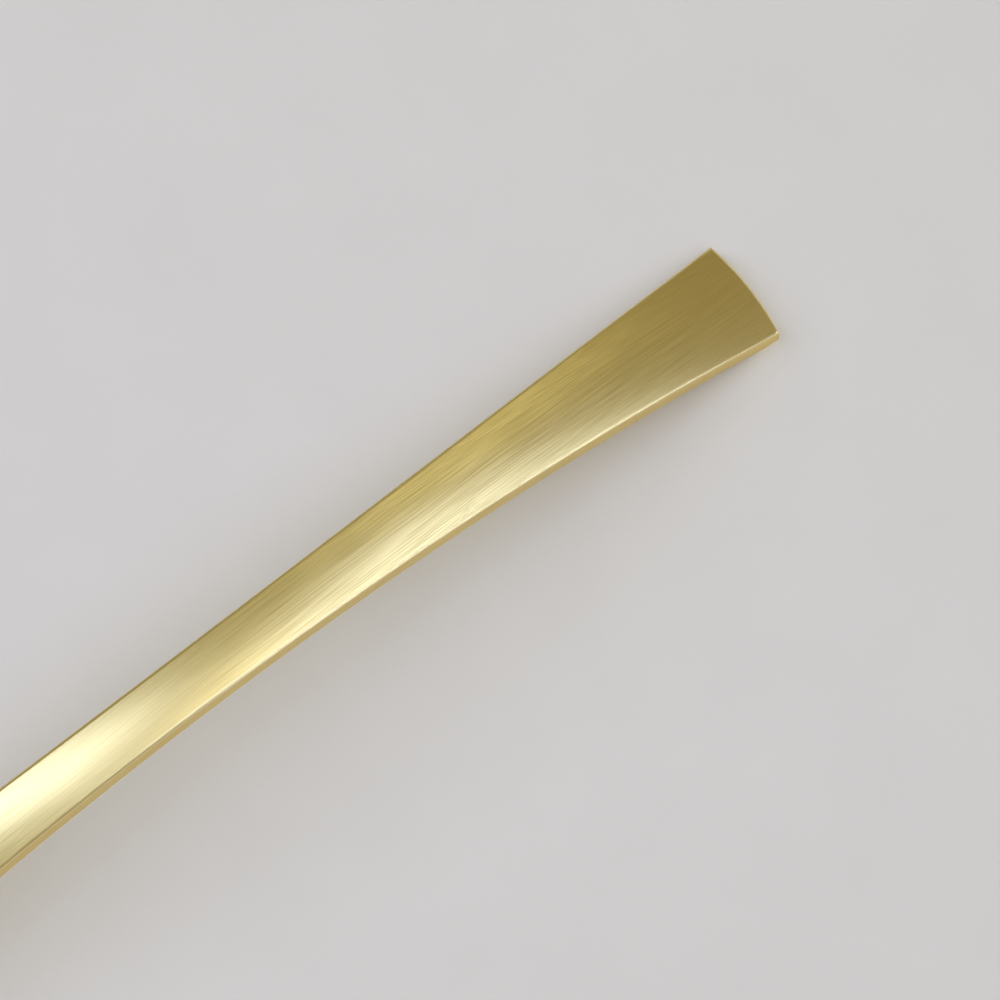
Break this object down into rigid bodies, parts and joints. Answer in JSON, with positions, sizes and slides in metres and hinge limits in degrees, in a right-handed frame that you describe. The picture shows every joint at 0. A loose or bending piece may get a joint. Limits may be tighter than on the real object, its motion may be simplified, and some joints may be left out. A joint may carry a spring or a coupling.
{
  "type": "bow pull handle",
  "caption": "Slim bow pull handle in brushed brass: a crowned bar that arches off the door and flares from a narrow waist to wide tips, with tapped feet behind.",
  "frame": {"origin": "centre of the mounting face, midway between the two screw holes", "axes": "+X along the handle, +Y across it, +Z away from the door or drawer front"},
  "size_m": [0.2074, 0.0164, 0.0295],
  "materials": {
    "brushed_brass": "brushed along the bow, satin"
  },
  "bodies": {
    "root": {"bow_handle": "brushed_brass"}
  },
  "joints": []
}
